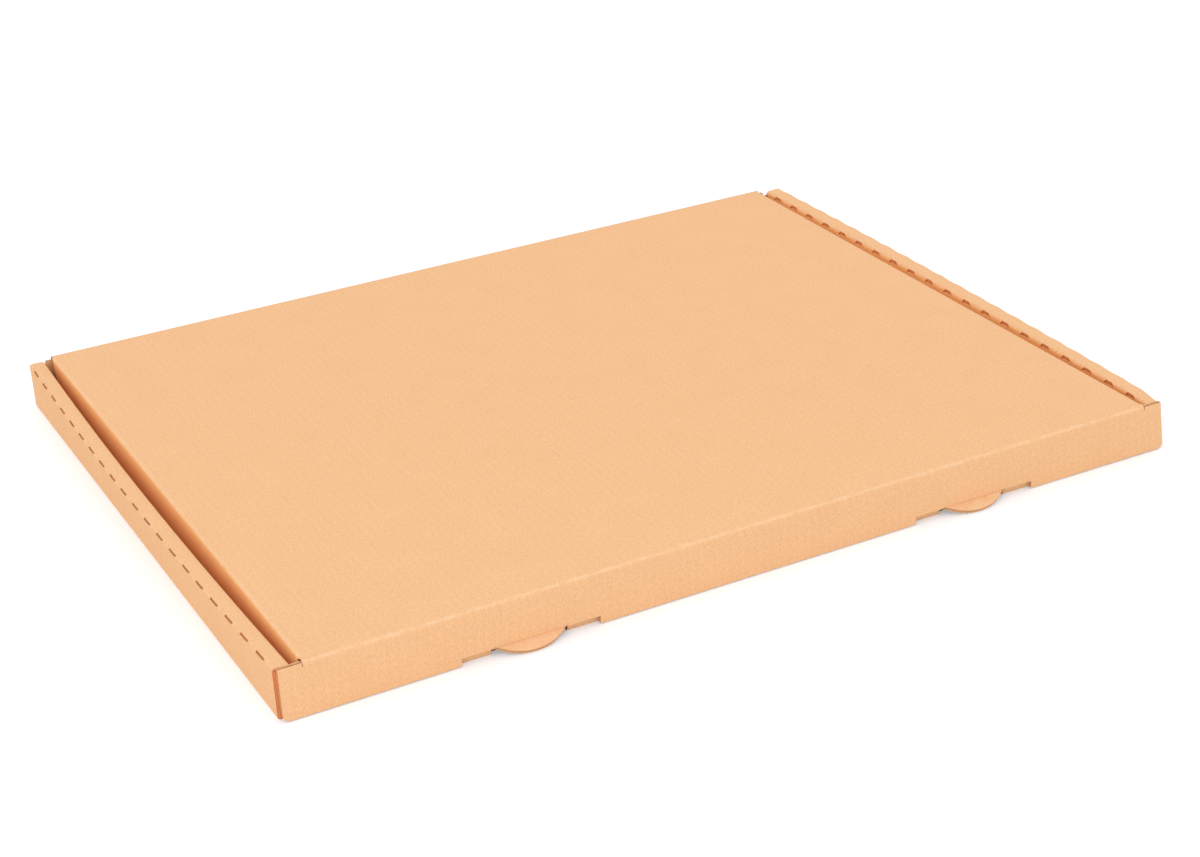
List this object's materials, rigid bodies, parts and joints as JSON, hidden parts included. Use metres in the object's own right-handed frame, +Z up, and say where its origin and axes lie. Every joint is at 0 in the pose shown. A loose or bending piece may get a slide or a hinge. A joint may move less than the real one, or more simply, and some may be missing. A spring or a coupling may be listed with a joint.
{
  "type": "flat mailer box",
  "caption": "Flat corrugated mailer box folded from one die-cut sheet, with perforated roll-over side walls, a tuck-in lid and a front flap with thumb tabs",
  "frame": {"origin": "centre of the base's underside, on the surface that the box rests on", "axes": "+X along the length, to the right seen from the front flap, +Y to the back, +Z up"},
  "size_m": [0.34, 0.269, 0.0195],
  "materials": {
    "kraft_board": "matt"
  },
  "bodies": {
    "tray": {"tray": "kraft_board"},
    "lid": {"lid": "kraft_board"},
    "front_flap": {"front_flap": "kraft_board"}
  },
  "joints": [
    {"name": "lid_crease", "type": "hinge", "parent": "tray", "child": "lid", "pos_m": [0, 0.13075, 0.01875], "axis": [-1, 0, 0], "range_deg": [0, 175]},
    {"name": "flap_crease", "type": "hinge", "parent": "lid", "child": "front_flap", "pos_m": [0, -0.13275, 0.01875], "axis": [-1, 0, 0], "range_deg": [0, 90]}
  ]
}
